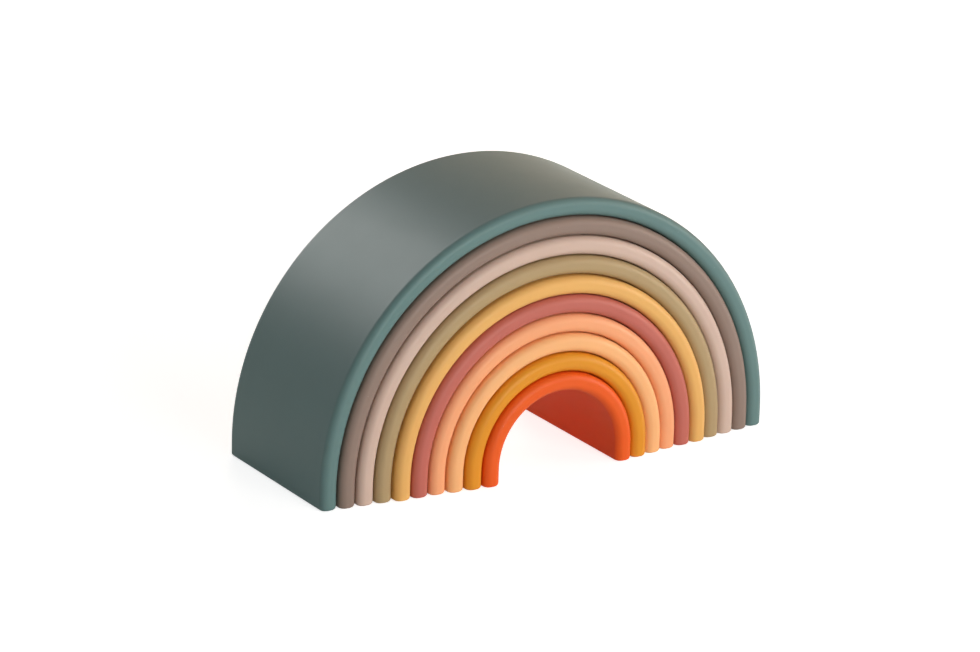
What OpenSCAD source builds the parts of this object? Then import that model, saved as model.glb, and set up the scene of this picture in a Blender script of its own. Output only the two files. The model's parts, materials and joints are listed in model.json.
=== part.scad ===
// Nesting rainbow: ten loose arches moulded in silicone, each standing inside the next larger one.
// An arch is a half ring on two short straight legs, with rounded long edges and flat soles.
// The nest is built outwards from the tunnel under the smallest arch. Nothing holds the arches
// together, so each one slides out of the nest towards the front or the back.
// Millimetres, +Z up, front towards -Y. The origin lies on the floor under the middle of the set.

/* [Tunnel] */
// Radius of the tunnel under the smallest arch
tunnel_radius = 26.4; // [12:0.1:60]
// Height of the straight legs under the half rings
leg_height = 6.7; // [3:0.1:20]

/* [Every arch] */
// Thickness of the wall
wall_thickness = 7; // [5:0.1:12]
// Depth from the front edge to the back edge
arch_depth = 70; // [40:1:110]
// Rounding of the long edges, at the front and the back
edge_radius = 2.9; // [1.8:0.1:3.4]
// Rounding of the edge around each sole
sole_radius = 1.2; // [0.4:0.1:1.6]

/* [Nest] */
// Free gap between neighbouring arches
nest_gap = 0.4; // [0.2:0.05:1]
// How far the largest arch stands behind the smallest
set_back = 8; // [0:0.5:20]

/* [Hidden] */
$fn = 96;
quarter_turn = 90;
half_turn = 180;

// Step in radius from one arch to the next
nest_pitch = wall_thickness + nest_gap;
// How far back each arch stands, from the smallest to the largest, as shares of set_back
set_back_shares = [0, 0.09, 0.22, 0.36, 0.41, 0.45, 0.66, 0.76, 0.87, 1];

// The rounding leaves a narrow flat along the middle of each long edge, however thin the wall is
rounding_limit_share = 0.45;
long_edge = min(edge_radius, rounding_limit_share * wall_thickness);
// Centres of the rounded corners in the wall's section, across the wall and along its depth
corner_x = wall_thickness / 2 - long_edge;
corner_y = arch_depth / 2 - long_edge;

// Middle of the wall of the arch at a place in the nest, counted outwards from 0
function wall_radius(place) = tunnel_radius + wall_thickness / 2 + place * nest_pitch;
// Middle of that arch from front to back, with the set centred on the origin
function middle_y(place) = set_back * set_back_shares[place] - set_back / 2;

// The four rounded corners of the wall's section
module at_corners() {
    for (x = [-corner_x, corner_x], y = [-corner_y, corner_y])
        translate([x, y])
            children();
}

// Section through the wall of every arch: x across the wall, y from front to back
module wall_section() {
    square([2 * corner_x, arch_depth], center = true);
    square([wall_thickness, 2 * corner_y], center = true);
    at_corners()
        circle(long_edge);
}

// Upright section of a leg, with a width across: straight sides and rounded bottom corners
module leg_section(width) {
    translate([-width / 2, sole_radius])
        square([width, leg_height - sole_radius]);
    translate([sole_radius - width / 2, 0])
        square([width - 2 * sole_radius, leg_height]);
    for (side = [-1, 1])
        translate([side * (width / 2 - sole_radius), sole_radius])
            circle(sole_radius);
}

// Straight leg, rounded around its sole: a round column in each corner and the wall between them
module leg() {
    at_corners()
        rotate_extrude()
            intersection() {
                leg_section(2 * long_edge);
                square([long_edge, leg_height]);
            }
    rotate([quarter_turn, 0, 0])
        linear_extrude(2 * corner_y, center = true)
            leg_section(wall_thickness);
    rotate([quarter_turn, 0, quarter_turn])
        linear_extrude(2 * corner_x, center = true)
            leg_section(arch_depth);
}

// Half ring on top of the legs, with the middle of its wall at a radius
module half_ring(radius) {
    translate([0, 0, leg_height])
        rotate([quarter_turn, 0, 0])
            rotate_extrude(angle = half_turn)
                translate([radius, 0])
                    wall_section();
}

// One whole arch at its place in the nest, from 0 for the smallest outwards
module arch(place) {
    translate([0, middle_y(place), 0]) {
        half_ring(wall_radius(place));
        for (side = [-1, 1])
            translate([side * wall_radius(place), 0])
                leg();
    }
}

module teal_arch() { color("#64827f") arch(9); }
module taupe_arch() { color("#907c71") arch(8); }
module blush_arch() { color("#d1b7a8") arch(7); }
module olive_arch() { color("#b19971") arch(6); }
module honey_arch() { color("#e9b468") arch(5); }
module rose_arch() { color("#c16b5e") arch(4); }
module coral_arch() { color("#f8ac7c") arch(3); }
module apricot_arch() { color("#fabb80") arch(2); }
module ochre_arch() { color("#e39625") arch(1); }
module orange_arch() { color("#ec5f19") arch(0); }

teal_arch();
taupe_arch();
blush_arch();
olive_arch();
honey_arch();
rose_arch();
coral_arch();
apricot_arch();
ochre_arch();
orange_arch();
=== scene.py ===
# %% [markdown]
# # A nesting rainbow of silicone arches
#
# The toy is ten loose arches that stand one inside another. Each arch is one solid moulding of soft
# satin silicone, without grain, seam or fitting. What makes it look real is therefore small: the
# round edges, the thin dark gaps between neighbours, and the way a soft skin takes the light.
#
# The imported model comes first. It gives every arch its place, the body it moves with and its
# material slot.

# %% Load the frame
import json
import math
from collections import namedtuple

import bmesh
import bpy
from mathutils import Matrix, Vector


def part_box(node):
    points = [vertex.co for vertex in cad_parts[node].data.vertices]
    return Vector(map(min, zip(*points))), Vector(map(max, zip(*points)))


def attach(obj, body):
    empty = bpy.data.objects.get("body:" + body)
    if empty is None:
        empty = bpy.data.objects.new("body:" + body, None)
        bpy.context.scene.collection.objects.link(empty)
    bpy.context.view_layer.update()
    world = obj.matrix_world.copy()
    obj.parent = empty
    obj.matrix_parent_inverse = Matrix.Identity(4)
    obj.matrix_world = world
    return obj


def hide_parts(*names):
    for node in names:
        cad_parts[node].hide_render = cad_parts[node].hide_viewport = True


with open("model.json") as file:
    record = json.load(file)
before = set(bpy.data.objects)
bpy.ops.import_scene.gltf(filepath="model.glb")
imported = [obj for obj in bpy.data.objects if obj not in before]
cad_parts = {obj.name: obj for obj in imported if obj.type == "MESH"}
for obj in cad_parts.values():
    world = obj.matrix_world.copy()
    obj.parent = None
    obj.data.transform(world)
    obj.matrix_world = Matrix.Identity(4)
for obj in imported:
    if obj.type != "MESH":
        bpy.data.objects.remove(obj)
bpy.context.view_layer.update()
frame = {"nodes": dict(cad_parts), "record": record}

MM = 1000  # millimetres in a metre, for what is printed

# %% [markdown]
# ## Measuring the arches
#
# A half ring on two short straight legs needs few sizes, and the CAD nodes hold them. Half of a
# node's width is the outer radius. What is left of its height under the half ring is the leg. The
# point of a leg that is nearest to the middle lies on the inside of the wall, so the wall follows
# from it.
#
# Reading these from the frame, instead of typing them again, keeps both models the same size for
# good. Only the two roundings are named here, in metres like all lengths in this script.

# %% Measure the ten arches
EDGE_RADIUS = 0.0029  # rounding of the long edges, front and back
SOLE_RADIUS = 0.0012  # rounding of the edge around each sole

Arch = namedtuple("Arch", "node slot radius wall leg front back")


def measure(part):
    low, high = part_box(part["node"])
    radius = (high.x - low.x) / 2
    leg = high.z - radius
    points = [vert.co for vert in frame["nodes"][part["node"]].data.vertices]
    inside = min(abs(point.x) for point in points if point.z < leg)
    return Arch(part["node"], part["material_slot"], radius, radius - inside, leg, low.y, high.y)


arches = [measure(part) for part in frame["record"]["subparts"]]
for arch in arches:
    radius, wall, leg = MM * arch.radius, MM * arch.wall, MM * arch.leg
    print(f"{arch.node}: radius {radius:.2f}, wall {wall:.2f}, leg {leg:.2f} mm")

# %% [markdown]
# ## The section of the wall
#
# Cut any arch across its wall and you see the same shape: a long narrow rectangle with round
# corners. The corners are almost half as wide as the wall, so each long edge ends in a nose with
# only a narrow flat on it.
#
# It could be drawn point by point, but rounding the four corners of one rectangle is shorter and
# exact. For a flat face this is a bevel of vertices. The section lies level at the foot of the half
# ring, on the right.

# %% Draw the wall's section
CORNER_SEGMENTS = 10


def wall_section(arch):
    """A bmesh with one face: the wall cut level where the half ring meets the right leg."""
    bm = bmesh.new()
    inner = arch.radius - arch.wall
    corners = (
        (inner, arch.front), (inner, arch.back), (arch.radius, arch.back), (arch.radius, arch.front))
    bm.faces.new([bm.verts.new((x, y, arch.leg)) for x, y in corners])
    bmesh.ops.bevel(
        bm, geom=bm.verts[:], affect="VERTICES", offset=EDGE_RADIUS, offset_type="OFFSET",
        segments=CORNER_SEGMENTS, profile=0.5, material=-1)
    return bm


section = wall_section(arches[0])
print("points around the section:", len(section.verts))
section.free()

# %% [markdown]
# ## The half ring
#
# Turning the section half way round a level axis, from the right leg over the top to the left leg,
# gives the whole curved wall. That is what spin does. Bending a straight bar with a modifier would
# also give an arch, but the bar stretches outside and shrinks inside, and its ends have to be
# matched to the legs by eye.

# %% Spin the half ring
RING_STEPS = 128


def spin_half_ring(bm, arch):
    bmesh.ops.spin(
        bm, geom=bm.verts[:] + bm.edges[:] + bm.faces[:], cent=(0, 0, arch.leg), axis=(0, -1, 0),
        angle=math.pi, steps=RING_STEPS)


# %% [markdown]
# ## Legs and soles
#
# The two ends of the half ring go straight down to the floor. Extruding the two end faces does
# that, and it takes the old end faces away, so that the arch stays one closed skin.
#
# Around each sole the mould has a small rounding. It matters more than its size suggests: in the
# photo it draws a fine line of light along every foot. The edges on the floor are bevelled for it.

# %% Lower the legs and round the soles
SOLE_SEGMENTS = 6
NEAR = 1e-6  # two heights closer than this are the same


def is_level_at(element, height):
    return all(abs(vert.co.z - height) < NEAR for vert in element.verts)


def lower_legs(bm, arch):
    ends = [face for face in bm.faces if is_level_at(face, arch.leg)]
    soles = bmesh.ops.extrude_discrete_faces(bm, faces=ends)["faces"]
    feet = [vert for sole in soles for vert in sole.verts]
    bmesh.ops.translate(bm, verts=feet, vec=(0, 0, -arch.leg))


def round_soles(bm):
    rims = [edge for edge in bm.edges if is_level_at(edge, 0)]
    bmesh.ops.bevel(
        bm, geom=rims, affect="EDGES", offset=SOLE_RADIUS, offset_type="OFFSET",
        segments=SOLE_SEGMENTS, profile=0.5, material=-1)


# %% [markdown]
# ## Where hands rub
#
# Fingers take an arch by its long edges, so the skin there is a little smoother than on the walls.
# The material has to know where the edges are. Each vertex therefore carries a number, 1 on the
# nose of an edge and 0 where the rounding ends, in an attribute that a shader node can read. Unlike
# a texture, it follows the arch exactly.

# %% Mark the rubbed edges
EDGE_RUB = "edge_rub"


def mark_edges(bm, arch):
    rub = bm.verts.layers.float.new(EDGE_RUB)
    for vert in bm.verts:
        from_edge = min(vert.co.y - arch.front, arch.back - vert.co.y)
        vert[rub] = max(0, 1 - from_edge / EDGE_RADIUS)


# %% [markdown]
# ## One arch after another
#
# All ten arches go through the same steps. The faces are shaded smooth, but smooth shading alone
# bends the light on a wide wall that borders a tight rounding, as if the wall were a pillow. The
# Weighted Normal modifier lets large faces decide, so that flat stays flat and round stays round.
#
# Each new arch takes the place of its CAD node, moves with the node's body and keeps its material
# slot.

# %% Make the arches
def make_arch(arch):
    bm = wall_section(arch)
    spin_half_ring(bm, arch)
    lower_legs(bm, arch)
    round_soles(bm)
    mark_edges(bm, arch)
    bmesh.ops.recalc_face_normals(bm, faces=bm.faces[:])
    for face in bm.faces:
        face.smooth = True
    open_edges = sum(not edge.is_manifold for edge in bm.edges)
    mesh = bpy.data.meshes.new(f"{arch.node}_skin")
    bm.to_mesh(mesh)
    bm.free()
    piece = bpy.data.objects.new(f"{arch.node}_moulding", mesh)
    bpy.context.scene.collection.objects.link(piece)
    piece.modifiers.new("flat_walls", "WEIGHTED_NORMAL").keep_sharp = True
    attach(piece, arch.node)
    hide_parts(arch.node)
    print(f"{piece.name}: {len(mesh.polygons)} faces, {open_edges} open edges")
    return piece


pieces = {arch.slot: make_arch(arch) for arch in arches}

# %% [markdown]
# ## The silicone skin
#
# Silicone takes its skin from the mould. The steel is blasted, so the skin has a grain far too fine
# to see as bumps, which spreads every highlight. The pigment is stirred in by hand and clouds a
# little. And silicone holds on to dust: here and there a pale speck sits on it.
#
# All ten colours share this skin, so it is one node group. It gives a colour, a roughness and a
# normal that change over the surface. What is the same everywhere, such as how far light goes in,
# is set on each shader.

# %% Start the skin's node group
skin = bpy.data.node_groups.new("silicone_skin", "ShaderNodeTree")
for name, kind in (("Pigment", "Color"), ("Dark cloud", "Color"), ("Dust", "Color")):
    skin.interface.new_socket(name, in_out="INPUT", socket_type=f"NodeSocket{kind}")
for name, kind in (("Colour", "Color"), ("Roughness", "Float"), ("Normal", "Vector")):
    skin.interface.new_socket(name, in_out="OUTPUT", socket_type=f"NodeSocket{kind}")


def add_node(tree, kind, inputs=None, **settings):
    """A new node with its settings, and with values for inputs by name or number."""
    node = tree.nodes.new(kind)
    for name, value in settings.items():
        setattr(node, name, value)
    for key, value in (inputs or {}).items():
        node.inputs[key].default_value = value
    return node


skin_in = add_node(skin, "NodeGroupInput")
skin_out = add_node(skin, "NodeGroupOutput")
place = add_node(skin, "ShaderNodeTexCoord").outputs["Object"]
print("skin sockets:", [item.name for item in skin.interface.items_tree])

# %% [markdown]
# The colour comes in two layers. Slow noise moves between the pigment and a slightly darker cloud
# of it. Then specks of dust lie on top: every cell of a Voronoi pattern has a point in it, and a
# cell carries a speck only if its random number is high, so that the specks look scattered and not
# counted out.

# %% Colour of the skin
CLOUD_SCALE = 35           # clouds of pigment about 30 mm across
CLOUD_DETAIL = 4
CLOUD_ROUGHNESS = 0.55     # how strong the small wisps in a cloud are
DUST_SCALE = 160           # one cell for a speck every 6 mm
DUST_SIZE = 0.035          # radius of a speck, as a share of its cell
DUST_CORE = DUST_SIZE / 3  # within this radius a speck has its full colour
BARE_SHARE = 0.75          # share of the cells that carry no speck


def mix_colours(tree, factor, first, second):
    """The first colour mixed with the second.

    A Mix node gives its sockets of every type the same names, so the colour sockets are found by type.
    """
    mix = add_node(tree, "ShaderNodeMix", data_type="RGBA")
    colours = [socket for socket in mix.inputs if socket.type == "RGBA"]
    tree.links.new(factor, mix.inputs["Factor"])
    tree.links.new(first, colours[0])
    tree.links.new(second, colours[1])
    return next(socket for socket in mix.outputs if socket.type == "RGBA")


clouds = add_node(
    skin, "ShaderNodeTexNoise",
    {"Scale": CLOUD_SCALE, "Detail": CLOUD_DETAIL, "Roughness": CLOUD_ROUGHNESS})
cells = add_node(skin, "ShaderNodeTexVoronoi", {"Scale": DUST_SCALE})
speck = add_node(skin, "ShaderNodeMapRange", {"From Min": DUST_SIZE, "From Max": DUST_CORE})
chance = add_node(skin, "ShaderNodeSeparateColor")
chosen = add_node(skin, "ShaderNodeMath", {1: BARE_SHARE}, operation="GREATER_THAN")
dust_mask = add_node(skin, "ShaderNodeMath", operation="MULTIPLY")
for start, end in (
    (place, clouds.inputs["Vector"]),
    (place, cells.inputs["Vector"]),
    (cells.outputs["Distance"], speck.inputs["Value"]),
    (cells.outputs["Color"], chance.inputs["Color"]),
    (chance.outputs["Red"], chosen.inputs[0]),
    (speck.outputs["Result"], dust_mask.inputs[0]),
    (chosen.outputs["Value"], dust_mask.inputs[1]),
):
    skin.links.new(start, end)
clouded = mix_colours(
    skin, clouds.outputs["Fac"], skin_in.outputs["Pigment"], skin_in.outputs["Dark cloud"])
dusted = mix_colours(skin, dust_mask.outputs["Value"], clouded, skin_in.outputs["Dust"])
skin.links.new(dusted, skin_out.inputs["Colour"])
print("colour nodes in the skin:", len(skin.nodes))

# %% [markdown]
# The gloss changes too. Noise makes it uneven over the walls, and the edge attribute makes the long
# edges a little smoother. The grain goes through a Bump node with a depth of two hundredths of a
# millimetre: too fine to see from here, but up close it keeps the skin from looking like hard
# plastic.

# %% Gloss and grain of the skin
WALL_ROUGHNESS = 0.46
EDGE_ROUGHNESS = 0.40
PATCH_SCALE = 90       # patches of different gloss about 11 mm across
PATCH_DETAIL = 3
PATCH_SPREAD = 0.06    # how much the roughness differs between patches
GRAIN_SCALE = 2600     # grain of the blasted mould, about 0.4 mm
GRAIN_DETAIL = 2
GRAIN_DEPTH = 0.00002
GRAIN_STRENGTH = 0.35

rubbed = add_node(skin, "ShaderNodeAttribute", attribute_type="GEOMETRY", attribute_name=EDGE_RUB)
edge_gloss = add_node(skin, "ShaderNodeMapRange", {"To Min": WALL_ROUGHNESS, "To Max": EDGE_ROUGHNESS})
patches = add_node(skin, "ShaderNodeTexNoise", {"Scale": PATCH_SCALE, "Detail": PATCH_DETAIL})
patch_gloss = add_node(
    skin, "ShaderNodeMapRange", {"To Min": -PATCH_SPREAD / 2, "To Max": PATCH_SPREAD / 2})
gloss = add_node(skin, "ShaderNodeMath", operation="ADD")
grain = add_node(skin, "ShaderNodeTexNoise", {"Scale": GRAIN_SCALE, "Detail": GRAIN_DETAIL})
bump = add_node(skin, "ShaderNodeBump", {"Strength": GRAIN_STRENGTH, "Distance": GRAIN_DEPTH})
for start, end in (
    (rubbed.outputs["Fac"], edge_gloss.inputs["Value"]),
    (place, patches.inputs["Vector"]),
    (patches.outputs["Fac"], patch_gloss.inputs["Value"]),
    (edge_gloss.outputs["Result"], gloss.inputs[0]),
    (patch_gloss.outputs["Result"], gloss.inputs[1]),
    (gloss.outputs["Value"], skin_out.inputs["Roughness"]),
    (place, grain.inputs["Vector"]),
    (grain.outputs["Fac"], bump.inputs["Height"]),
    (bump.outputs["Normal"], skin_out.inputs["Normal"]),
):
    skin.links.new(start, end)
print("nodes in the whole skin:", len(skin.nodes))

# %% [markdown]
# ## Ten colours
#
# Each arch is coloured right through, so each gets a material of its own with the shared skin in
# it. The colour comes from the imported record. A cloud is the same colour a little darker, and dust
# is a greyed, lighter one.
#
# Light goes a short way into silicone and comes out beside where it went in. That softens the shade
# on the tight edges and lets the warm colours glow where arches face each other. Subsurface does
# this, with a depth in metres.

# %% Colour the arches
CLOUD_SHADE = 0.93      # a cloud's brightness beside the pigment's
DUST_COLOUR = (0.62, 0.60, 0.57)
DUST_SHARE = 0.30       # how much of a speck's colour is dust and not pigment
SILICONE_IOR = 1.43
SKIN_SHINE = 0.40       # below the usual 0.5: the blasted skin returns less of what it mirrors
SCATTER_WEIGHT = 0.15
SCATTER_DEPTH = 0.001
SCATTER_RADIUS = (1.0, 0.5, 0.3)

pigments = {entry["slot"]: Vector(entry["base_color"]) for entry in frame["record"]["materials"]}


def silicone(slot):
    """The material of one colour, with what is the same all over set on its shader."""
    pigment = pigments[slot]
    material = bpy.data.materials.new(slot)
    material.use_nodes = True
    tree = material.node_tree
    shader = tree.nodes["Principled BSDF"]
    shader.inputs["IOR"].default_value = SILICONE_IOR
    shader.inputs["Specular IOR Level"].default_value = SKIN_SHINE
    shader.inputs["Subsurface Weight"].default_value = SCATTER_WEIGHT
    shader.inputs["Subsurface Scale"].default_value = SCATTER_DEPTH
    shader.inputs["Subsurface Radius"].default_value = SCATTER_RADIUS
    coat = add_node(tree, "ShaderNodeGroup", node_tree=skin)
    coat.inputs["Pigment"].default_value = (*pigment, 1)
    coat.inputs["Dark cloud"].default_value = (*(pigment * CLOUD_SHADE), 1)
    coat.inputs["Dust"].default_value = (*pigment.lerp(Vector(DUST_COLOUR), DUST_SHARE), 1)
    tree.links.new(coat.outputs["Colour"], shader.inputs["Base Color"])
    tree.links.new(coat.outputs["Roughness"], shader.inputs["Roughness"])
    tree.links.new(coat.outputs["Normal"], shader.inputs["Normal"])
    return material


for slot, piece in pieces.items():
    piece.data.materials.append(silicone(slot))
print("materials:", ", ".join(pieces))

# %% [markdown]
# ## Surroundings
#
# The toy stands in a white studio with a warm wall on the right, which the top of the largest arch
# mirrors. In the world's shader, Generated is the direction of a ray, so its X tells the right side
# from the left. For a camera that looks past the edge of the floor, the background stays white on
# both sides.
#
# For the camera, and for what the satin skin mirrors, the surroundings are bright. As a source of
# light they are much weaker, or the shade on the toy would wash out. The Light Path node tells
# these kinds of ray apart.

# %% Build the surroundings
WHITE = (1, 1, 1, 1)
WARM_WALL = (1.0, 0.60, 0.40, 1)
WARM_FROM = 0.1         # how far to the right the wall's colour begins, as X of the direction
WARM_FULL = 0.6         # and where it is full
SURROUND_LIGHT = 0.10   # brightness of the surroundings as a source of light
SURROUND_GLOW = 1.0     # and where they are seen


def combine(tree, operation, first, second):
    """A Math node on two linked values."""
    node = add_node(tree, "ShaderNodeMath", operation=operation)
    tree.links.new(first, node.inputs[0])
    tree.links.new(second, node.inputs[1])
    return node.outputs["Value"]


def seen_rays(tree, shade=None):
    """1 for rays that show the surroundings: straight to the camera, through glass or mirrored.

    A shade between 0 and 1 dims what is mirrored.
    """
    path = add_node(tree, "ShaderNodeLightPath")
    mirrored = path.outputs["Is Glossy Ray"]
    if shade:
        mirrored = combine(tree, "MULTIPLY", mirrored, shade)
    direct = combine(
        tree, "MAXIMUM", path.outputs["Is Camera Ray"], path.outputs["Is Transmission Ray"])
    return combine(tree, "MAXIMUM", direct, mirrored)


def build_world():
    world = bpy.data.worlds.new("white_studio")
    world.use_nodes = True
    tree = world.node_tree
    strength = add_node(tree, "ShaderNodeMapRange", {"To Min": SURROUND_LIGHT, "To Max": SURROUND_GLOW})
    heading = add_node(tree, "ShaderNodeSeparateXYZ")
    right_side = add_node(tree, "ShaderNodeMapRange", {"From Min": WARM_FROM, "From Max": WARM_FULL})
    tint = add_node(tree, "ShaderNodeValToRGB")
    tint.color_ramp.elements[0].color = WHITE
    tint.color_ramp.elements[1].color = WARM_WALL
    background = tree.nodes["Background"]
    camera_rays = add_node(tree, "ShaderNodeLightPath").outputs["Is Camera Ray"]
    tree.links.new(add_node(tree, "ShaderNodeTexCoord").outputs["Generated"], heading.inputs["Vector"])
    tree.links.new(heading.outputs["X"], right_side.inputs["Value"])
    # Below 0 the ramp keeps its first colour, so the camera sees white
    warmth = combine(tree, "SUBTRACT", right_side.outputs["Result"], camera_rays)
    tree.links.new(warmth, tint.inputs["Fac"])
    tree.links.new(tint.outputs["Color"], background.inputs["Color"])
    tree.links.new(seen_rays(tree), strength.inputs["Value"])
    tree.links.new(strength.outputs["Result"], background.inputs["Strength"])
    bpy.context.scene.world = world


build_world()
print(f"surroundings: {SURROUND_GLOW} seen, {SURROUND_LIGHT} as a source of light")

# %% [markdown]
# ## Floor
#
# The floor is bright where it is seen and weak as a source of light, too. Its own glow lifts it to
# white and still leaves the shadow of the toy on it. A glowing floor has one fault: the wall of the
# tunnel mirrors it and turns grey, although the floor in a tunnel is dim. So the mirrored glow
# fades where the toy closes the floor in, which an Ambient Occlusion node measures.

# %% Lay the floor
FLOOR_RADIUS = 8
FLOOR_SEGMENTS = 96
FLOOR_DROP = 0.0001     # keeps the floor from lying in the very plane of the soles
FLOOR_WHITE = (0.75, 0.75, 0.75, 1)
FLOOR_GLOW = 0.78       # brightness that the floor adds where it is seen
FLOOR_LIGHT = 0.13      # what it adds as a source of light
SHADE_REACH = 0.06      # within this distance of the toy, the mirrored floor gets darker


def build_floor():
    bm = bmesh.new()
    bmesh.ops.create_circle(
        bm, cap_ends=True, segments=FLOOR_SEGMENTS, radius=FLOOR_RADIUS,
        matrix=Matrix.Translation((0, 0, -FLOOR_DROP)))
    mesh = bpy.data.meshes.new("floor")
    bm.to_mesh(mesh)
    bm.free()
    floor = bpy.data.objects.new("floor", mesh)
    bpy.context.scene.collection.objects.link(floor)
    material = bpy.data.materials.new("white_floor")
    material.use_nodes = True
    tree = material.node_tree
    shader = tree.nodes["Principled BSDF"]
    shader.inputs["Base Color"].default_value = FLOOR_WHITE
    shader.inputs["Roughness"].default_value = 1
    shader.inputs["Specular IOR Level"].default_value = 0
    shader.inputs["Emission Color"].default_value = WHITE
    openness = add_node(tree, "ShaderNodeAmbientOcclusion", {"Distance": SHADE_REACH}).outputs["AO"]
    strength = add_node(tree, "ShaderNodeMapRange", {"To Min": FLOOR_LIGHT, "To Max": FLOOR_GLOW})
    fade = combine(tree, "MULTIPLY", openness, openness)
    tree.links.new(seen_rays(tree, fade), strength.inputs["Value"])
    tree.links.new(strength.outputs["Result"], shader.inputs["Emission Strength"])
    mesh.materials.append(material)


build_floor()
print(f"floor: {FLOOR_GLOW} seen, {FLOOR_LIGHT} as a source of light")

# %% [markdown]
# ## Studio lamps
#
# The shading in the photo tells where the lamps stood. The front edges are bright and the left wall
# is dim, so a broad low lamp stands in front and a weaker one to the right. The right wall of the
# tunnel is a deep red, because the orange wall opposite lights it. That takes a low lamp far behind
# on the right. The pale band along the left shoulder of the largest arch is the mirror image of a
# soft lamp behind the toy.
#
# A lamp that is strong enough to be mirrored like this can light too much, and the other way round.
# An object can be hidden from one kind of ray, so each lamp here is a pair: one part lights the toy
# and the other is mirrored. The two never share a place. A ray that meets two lamps at the same
# distance only finds one of them, and that shows as a faint line on the crown.

# %% Set up the lamps
LAMP_AIM = Vector((0, 0, 0.045))  # the lamps point at the middle of the toy
LIGHT_DISTANCE = 1.6
MIRRORED_DISTANCE = 1.7
NEAR_WHITE = (1.0, 0.985, 0.96)
WARM_WHITE = (1.0, 0.87, 0.73)


def direction(azimuth, height):
    """Towards a lamp or the camera: azimuth 0 is in front of the toy, 90 to its right, in degrees."""
    turn, rise = math.radians(azimuth), math.radians(height)
    return Vector((math.sin(turn) * math.cos(rise), -math.cos(turn) * math.cos(rise), math.sin(rise)))


def add_lamp(name, azimuth, height, distance, size, light, colour):
    """An area lamp that lights a white surface facing it to the brightness given as light."""
    data = bpy.data.lights.new(name, "AREA")
    data.shape = "DISK"
    data.size = size
    data.energy = light * (math.pi * distance) ** 2
    data.color = colour
    lamp = bpy.data.objects.new(name, data)
    bpy.context.scene.collection.objects.link(lamp)
    towards = direction(azimuth, height)
    lamp.location = LAMP_AIM + towards * distance
    lamp.rotation_euler = (-towards).to_track_quat("-Z", "Y").to_euler()
    lamp.visible_camera = False
    print(f"{name}: {data.energy:.1f} W from {[round(part, 2) for part in lamp.location]}")
    return lamp


def soft_lamp(name, azimuth, height, size, light, mirrored, colour=NEAR_WHITE):
    """Two lamps in one direction: the first one lights the toy, and the skin mirrors the second."""
    lit = add_lamp(f"{name}_light", azimuth, height, LIGHT_DISTANCE, size, light, colour)
    seen = add_lamp(f"{name}_mirrored", azimuth, height, MIRRORED_DISTANCE, size, mirrored, colour)
    lit.visible_glossy = False
    seen.visible_diffuse = False


soft_lamp("front_lamp", azimuth=6, height=12, size=1.2, light=0.72, mirrored=0.28)
soft_lamp("right_lamp", azimuth=60, height=12, size=1.0, light=0.36, mirrored=0.25)
soft_lamp(
    "far_lamp", azimuth=150, height=6, size=0.8, light=0.90, mirrored=0.02, colour=WARM_WHITE)
soft_lamp("back_lamp", azimuth=-165, height=32, size=1.0, light=0.08, mirrored=0.55)

# %% [markdown]
# ## Camera
#
# The camera looks from the left and a little above, from far away through a long lens, so the
# arches hardly shrink towards the back. These numbers come from fitting the outline of the arches
# to the photo. The photo is turned by about two degrees, so the camera is rolled by as much.

# %% Place the camera
VIEW_AZIMUTH = -33.14   # from the left, in degrees as for the lamps
VIEW_HEIGHT = 19.27
VIEW_ROLL = 1.82
VIEW_CENTRE = Vector((-0.00245, 0.009, 0.04519))
VIEW_DISTANCE = 1.874
LENS = 179.3            # in millimetres on the usual 36 mm sensor


def place_camera():
    data = bpy.data.cameras.new("camera")
    data.lens = LENS
    camera = bpy.data.objects.new("camera", data)
    bpy.context.scene.collection.objects.link(camera)
    back = direction(VIEW_AZIMUTH, VIEW_HEIGHT)
    roll = Matrix.Rotation(math.radians(VIEW_ROLL), 3, "Z")
    turn = back.to_track_quat("Z", "Y").to_matrix() @ roll
    camera.matrix_world = Matrix.Translation(VIEW_CENTRE + back * VIEW_DISTANCE) @ turn.to_4x4()
    bpy.context.scene.camera = camera
    return camera


camera = place_camera()
bpy.context.scene.view_settings.view_transform = "Standard"
print("camera at", [round(part, 3) for part in camera.location])
